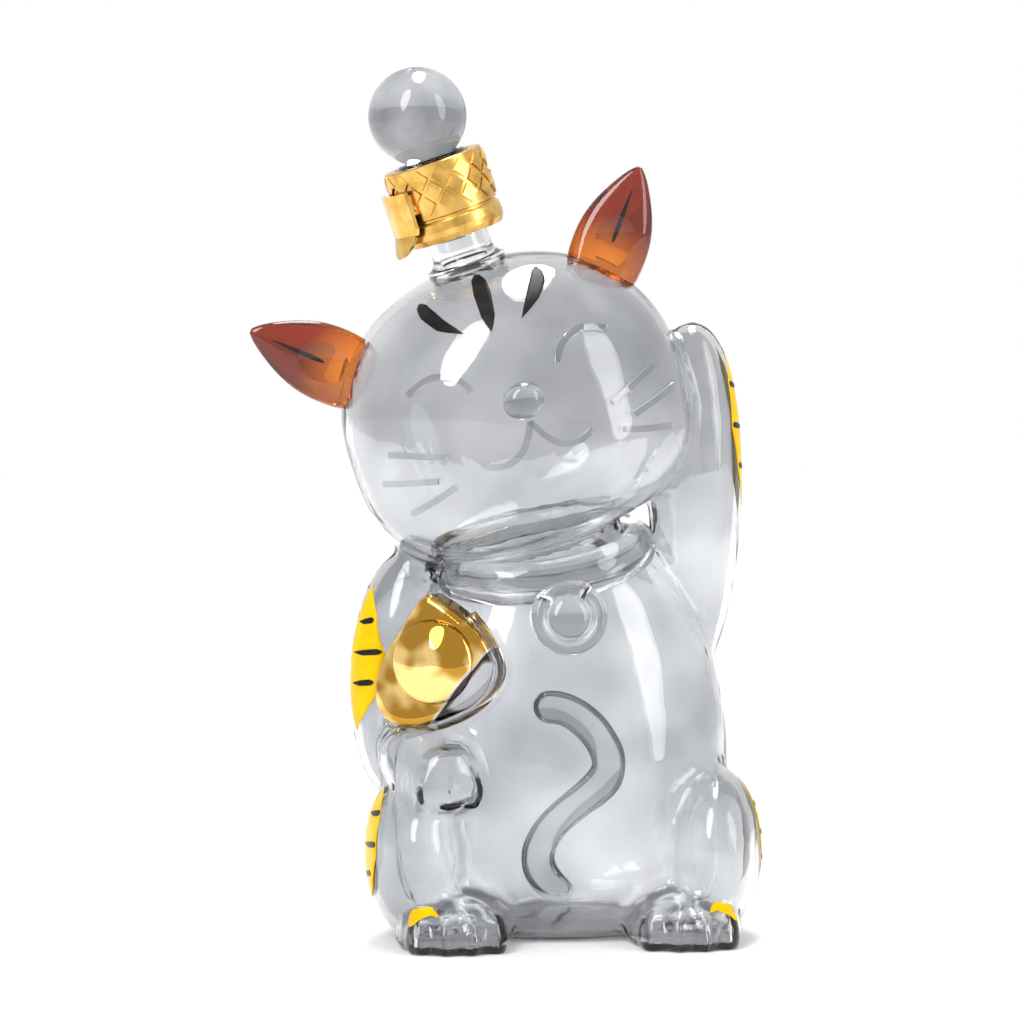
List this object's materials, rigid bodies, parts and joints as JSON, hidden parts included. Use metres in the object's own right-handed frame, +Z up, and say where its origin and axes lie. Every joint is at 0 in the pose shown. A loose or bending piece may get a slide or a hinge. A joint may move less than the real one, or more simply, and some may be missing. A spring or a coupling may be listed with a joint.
{
  "type": "figural decanter",
  "caption": "Seated beckoning cub decanter in clear blown glass with amber ears, gilt neck sleeve, ball stopper and gilt ingot",
  "frame": {"origin": "centre of the resting face, on the surface it stands on", "axes": "x right as one looks at the face, y to the back, z up; the figure faces -y"},
  "size_m": [0.1498, 0.0939, 0.2554],
  "materials": {
    "clear_glass": "clear, fire polished",
    "amber_glass": "amber, fire polished",
    "gilt_metal": "polished gilt plating",
    "gilt_glass": "glass with a polished gilt coating",
    "silicone": "translucent satin"
  },
  "bodies": {
    "decanter": {"vessel": "clear_glass", "neck": "clear_glass", "collar": "clear_glass", "bell": "clear_glass", "nose": "clear_glass", "eyes": "clear_glass", "mouth": "clear_glass", "whiskers_right": "clear_glass", "whiskers_left": "clear_glass", "ear_left": "amber_glass", "ear_right": "amber_glass", "ingot": "gilt_glass", "resting_paw": "clear_glass", "foot_left": "clear_glass", "foot_right": "clear_glass", "tail": "clear_glass"},
    "stopper": {"ball_stopper": "clear_glass", "seal_ring_upper": "silicone", "seal_ring_middle": "silicone", "seal_ring_lower": "silicone"},
    "neck_sleeve": {"sleeve": "gilt_metal", "tag_plate": "gilt_metal", "tag_lugs": "gilt_metal"}
  },
  "joints": [
    {"name": "stopper_lift", "type": "slide", "parent": "decanter", "child": "stopper", "axis": [-0.3156, 0, 0.9489], "range_m": [0, 0.035]},
    {"name": "neck_sleeve_turn", "type": "hinge", "parent": "decanter", "child": "neck_sleeve", "pos_m": [-0.0351, 0.002, 0.22092], "axis": [-0.3156, 0, 0.9489], "continuous": true}
  ]
}
